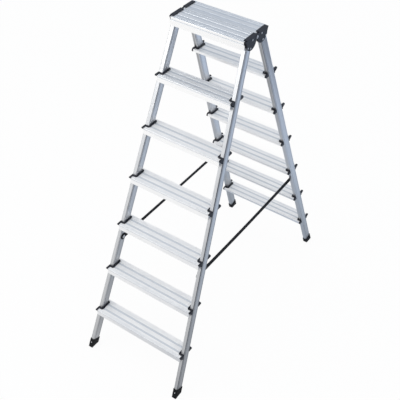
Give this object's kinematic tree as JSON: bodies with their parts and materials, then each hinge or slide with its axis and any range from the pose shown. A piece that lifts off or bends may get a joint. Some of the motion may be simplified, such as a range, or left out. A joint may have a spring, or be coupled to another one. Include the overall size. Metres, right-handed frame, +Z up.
{
  "type": "trestle ladder",
  "caption": "Free-standing double-sided aluminium step ladder: two leaning frames of deep treads, hinged under a split platform, with black end clips, feet and spread-stop straps.",
  "frame": {"origin": "on the floor, under the middle of the platform, with the ladder open", "axes": "+Z up, +X along the treads to the right as seen from the front, -Y towards the front frame"},
  "size_m": [0.5124, 1.2738, 1.5155],
  "materials": {
    "aluminium": "mill-finished extrusion, satin",
    "black_plastic": "moulded, fine grain",
    "rivet_steel": "zinc plated",
    "webbing": "woven polyester webbing"
  },
  "bodies": {
    "front_frame": {"front_stile_left": "aluminium", "front_bracket_left": "black_plastic", "front_foot_left": "black_plastic", "front_stile_right": "aluminium", "front_bracket_right": "black_plastic", "front_foot_right": "black_plastic", "front_tread_1": "aluminium", "front_clips_1": "black_plastic", "front_tread_2": "aluminium", "front_clips_2": "black_plastic", "front_tread_3": "aluminium", "front_clips_3": "black_plastic", "front_tread_4": "aluminium", "front_clips_4": "black_plastic", "front_tread_5": "aluminium", "front_clips_5": "black_plastic", "front_tread_6": "aluminium", "front_clips_6": "black_plastic", "front_platform": "aluminium", "front_tread_rivets": "rivet_steel", "front_bracket_rivets": "rivet_steel", "front_foot_rivets": "rivet_steel", "front_strap_washers": "rivet_steel", "front_strap_rivets": "rivet_steel", "pivot_pin_left": "rivet_steel", "strap_left": "webbing", "pivot_pin_right": "rivet_steel", "strap_right": "webbing"},
    "rear_frame": {"rear_stile_left": "aluminium", "rear_bracket_left": "black_plastic", "rear_foot_left": "black_plastic", "rear_stile_right": "aluminium", "rear_bracket_right": "black_plastic", "rear_foot_right": "black_plastic", "rear_tread_1": "aluminium", "rear_clips_1": "black_plastic", "rear_tread_2": "aluminium", "rear_clips_2": "black_plastic", "rear_tread_3": "aluminium", "rear_clips_3": "black_plastic", "rear_tread_4": "aluminium", "rear_clips_4": "black_plastic", "rear_tread_5": "aluminium", "rear_clips_5": "black_plastic", "rear_tread_6": "aluminium", "rear_clips_6": "black_plastic", "rear_platform": "aluminium", "rear_tread_rivets": "rivet_steel", "rear_bracket_rivets": "rivet_steel", "rear_foot_rivets": "rivet_steel", "rear_strap_washers": "rivet_steel", "rear_strap_rivets": "rivet_steel"}
  },
  "joints": [
    {"name": "frame_fold", "type": "hinge", "parent": "front_frame", "child": "rear_frame", "pos_m": [0, 0, 1.5], "axis": [-1, 0, 0], "range_deg": [0, 40], "deforming": ["strap_left", "strap_right"]}
  ]
}
